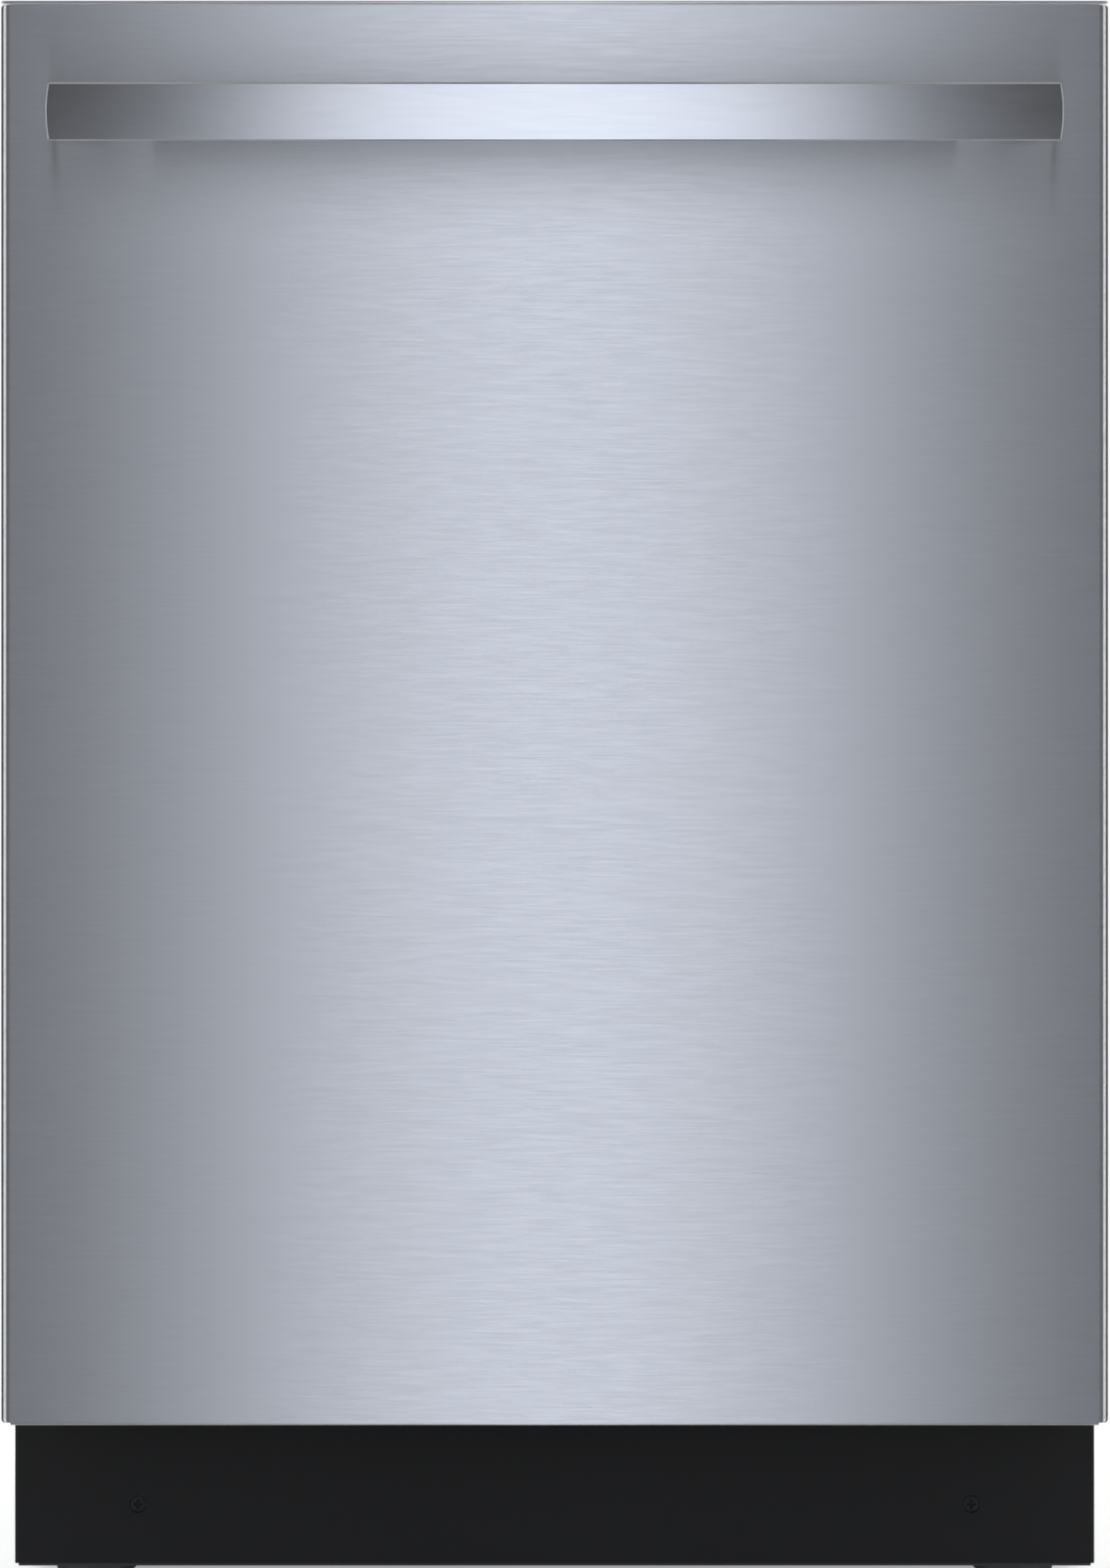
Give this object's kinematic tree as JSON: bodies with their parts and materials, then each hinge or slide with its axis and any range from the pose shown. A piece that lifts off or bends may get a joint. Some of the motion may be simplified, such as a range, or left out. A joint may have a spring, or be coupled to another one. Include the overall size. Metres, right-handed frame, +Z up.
{
  "type": "built-in dishwasher",
  "caption": "Built-in dishwasher with a drop-down steel door, bar handle, top-edge controls, pull-out wire racks and spinning spray arms.",
  "frame": {"origin": "on the floor, at the middle of the whole object's footprint, handle included", "axes": "+Z up; the front with the handle faces -Y; +X is on the right seen from the front; metres"},
  "size_m": [0.5986, 0.6479, 0.86],
  "materials": {
    "front_steel": "fine horizontal brush marks, satin",
    "handle_steel": "fine brush marks along the bar, satin",
    "tub_steel": "smooth cold-rolled stainless, semi-bright",
    "zinc_steel": "zinc plated, dull",
    "spring_steel": "oiled drawn wire",
    "kick_paint": "black powder coat, low sheen",
    "screw_black": "black oxide",
    "base_plastic": "black moulded polypropylene, fine grain",
    "grey_plastic": "grey moulded polypropylene",
    "wheel_plastic": "light grey acetal",
    "control_black": "black ABS, satin",
    "button_plastic": "dark grey, satin",
    "display_dark": "smoked acrylic, polished",
    "rack_coating": "grey nylon coat on steel wire",
    "blanket_felt": "needled fibre felt, dark grey",
    "seal_rubber": "extruded rubber"
  },
  "bodies": {
    "cabinet": {"base_pan": "base_plastic", "tub": "tub_steel", "tub_gasket": "seal_rubber", "insulation_blanket": "blanket_felt", "toe_kick": "kick_paint", "toe_kick_strip": "seal_rubber", "toe_kick_screw_left": "screw_black", "toe_kick_screw_right": "screw_black", "front_foot_left": "base_plastic", "front_foot_right": "base_plastic", "rear_foot_left": "base_plastic", "rear_foot_right": "base_plastic", "countertop_bracket_left": "zinc_steel", "countertop_bracket_right": "zinc_steel", "junction_box": "zinc_steel", "inlet_valve": "base_plastic", "drain_outlet": "base_plastic", "sump": "base_plastic", "circulation_pump": "base_plastic", "drain_pump": "grey_plastic", "filter_plate": "tub_steel", "feed_pipe": "grey_plastic", "upper_rail_left": "tub_steel", "upper_rail_right": "tub_steel", "hinge_bracket_left": "zinc_steel", "hinge_bracket_right": "zinc_steel", "door_spring_left": "spring_steel", "door_spring_right": "spring_steel", "latch_strike": "zinc_steel"},
    "door": {"door_outer_panel": "front_steel", "door_inner_liner": "tub_steel", "control_panel": "control_black", "display_window": "display_dark", "door_latch": "base_plastic", "handle_bar": "handle_steel", "handle_standoff_left": "handle_steel", "handle_standoff_right": "handle_steel", "dispenser_body": "grey_plastic", "hinge_arm_left": "zinc_steel", "hinge_arm_right": "zinc_steel"},
    "lower_rack": {"lower_rack": "rack_coating", "cutlery_basket": "grey_plastic"},
    "upper_rack": {"upper_rack": "rack_coating"},
    "filter_cylinder": {"filter_cylinder": "grey_plastic"},
    "lower_spray_arm": {"lower_spray_arm": "grey_plastic"},
    "upper_spray_arm": {"upper_spray_arm": "grey_plastic"},
    "folding_tines": {"folding_tines": "rack_coating"},
    "cup_shelf": {"cup_shelf": "rack_coating"},
    "dispenser_lid": {"dispenser_lid": "grey_plastic"},
    "rinse_aid_cap": {"rinse_aid_cap": "grey_plastic"},
    "rack_wheel_front_left": {"rack_wheel_front_left": "wheel_plastic"},
    "rack_wheel_front_right": {"rack_wheel_front_right": "wheel_plastic"},
    "rack_wheel_rear_left": {"rack_wheel_rear_left": "wheel_plastic"},
    "rack_wheel_rear_right": {"rack_wheel_rear_right": "wheel_plastic"},
    "button_power": {"button_power": "button_plastic"},
    "button_cycle": {"button_cycle": "button_plastic"},
    "button_options": {"button_options": "button_plastic"},
    "button_delay": {"button_delay": "button_plastic"},
    "button_dry": {"button_dry": "button_plastic"},
    "button_start": {"button_start": "button_plastic"}
  },
  "joints": [
    {"name": "door_hinge", "type": "hinge", "parent": "cabinet", "child": "door", "pos_m": [0, -0.246, 0.112], "axis": [1, 0, 0], "range_deg": [0, 90], "stiffness_Nm_per_rad": 21, "springref_deg": -5.73},
    {"name": "lower_rack_slide", "type": "slide", "parent": "cabinet", "child": "lower_rack", "axis": [0, -1, 0], "range_m": [0, 0.175]},
    {"name": "upper_rack_slide", "type": "slide", "parent": "cabinet", "child": "upper_rack", "axis": [0, -1, 0], "range_m": [0, 0.402]},
    {"name": "lower_arm_spin", "type": "hinge", "parent": "cabinet", "child": "lower_spray_arm", "pos_m": [0, 0.04, 0.1395], "axis": [0, 0, 1], "continuous": true},
    {"name": "upper_arm_spin", "type": "hinge", "parent": "upper_rack", "child": "upper_spray_arm", "pos_m": [0, 0.04, 0.5215], "axis": [0, 0, 1], "continuous": true},
    {"name": "filter_twist", "type": "hinge", "parent": "cabinet", "child": "filter_cylinder", "pos_m": [0, -0.045, 0.11], "axis": [0, 0, 1], "range_deg": [0, 90]},
    {"name": "tines_fold", "type": "hinge", "parent": "lower_rack", "child": "folding_tines", "pos_m": [0, 0.12, 0.167], "axis": [-1, 0, 0], "range_deg": [0, 85]},
    {"name": "cup_shelf_fold", "type": "hinge", "parent": "upper_rack", "child": "cup_shelf", "pos_m": [-0.2489, -0.03, 0.622], "axis": [0, -1, 0], "range_deg": [0, 85]},
    {"name": "dispenser_lid_slide", "type": "slide", "parent": "door", "child": "dispenser_lid", "axis": [0, 0, -1], "range_m": [0, 0.078]},
    {"name": "rinse_cap_twist", "type": "hinge", "parent": "door", "child": "rinse_aid_cap", "pos_m": [0.048, -0.2331, 0.61], "axis": [0, 1, 0], "range_deg": [0, 90]},
    {"name": "wheel_front_left_roll", "type": "hinge", "parent": "lower_rack", "child": "rack_wheel_front_left", "pos_m": [-0.2645, -0.08, 0.1463], "axis": [1, 0, 0], "range_deg": [0, 585]},
    {"name": "wheel_front_right_roll", "type": "hinge", "parent": "lower_rack", "child": "rack_wheel_front_right", "pos_m": [0.2645, -0.08, 0.1463], "axis": [1, 0, 0], "range_deg": [0, 585]},
    {"name": "wheel_rear_left_roll", "type": "hinge", "parent": "lower_rack", "child": "rack_wheel_rear_left", "pos_m": [-0.2645, 0.18, 0.1463], "axis": [1, 0, 0], "range_deg": [0, 585]},
    {"name": "wheel_rear_right_roll", "type": "hinge", "parent": "lower_rack", "child": "rack_wheel_rear_right", "pos_m": [0.2645, 0.18, 0.1463], "axis": [1, 0, 0], "range_deg": [0, 585]},
    {"name": "button_power_press", "type": "slide", "parent": "door", "child": "button_power", "axis": [0, 0, -1], "range_m": [0, 0.0012], "stiffness_N_per_m": 900},
    {"name": "button_cycle_press", "type": "slide", "parent": "door", "child": "button_cycle", "axis": [0, 0, -1], "range_m": [0, 0.0012], "stiffness_N_per_m": 900},
    {"name": "button_options_press", "type": "slide", "parent": "door", "child": "button_options", "axis": [0, 0, -1], "range_m": [0, 0.0012], "stiffness_N_per_m": 900},
    {"name": "button_delay_press", "type": "slide", "parent": "door", "child": "button_delay", "axis": [0, 0, -1], "range_m": [0, 0.0012], "stiffness_N_per_m": 900},
    {"name": "button_dry_press", "type": "slide", "parent": "door", "child": "button_dry", "axis": [0, 0, -1], "range_m": [0, 0.0012], "stiffness_N_per_m": 900},
    {"name": "button_start_press", "type": "slide", "parent": "door", "child": "button_start", "axis": [0, 0, -1], "range_m": [0, 0.0012], "stiffness_N_per_m": 900}
  ],
  "couplings": [
    {"joint": "lower_rack_slide", "follows": "door_hinge", "m_per_rad": 0.11},
    {"joint": "upper_rack_slide", "follows": "door_hinge", "m_per_rad": 0.2546},
    {"joint": "wheel_front_left_roll", "follows": "door_hinge", "ratio": 6.4706},
    {"joint": "wheel_front_right_roll", "follows": "door_hinge", "ratio": 6.4706},
    {"joint": "wheel_rear_left_roll", "follows": "door_hinge", "ratio": 6.4706},
    {"joint": "wheel_rear_right_roll", "follows": "door_hinge", "ratio": 6.4706}
  ]
}
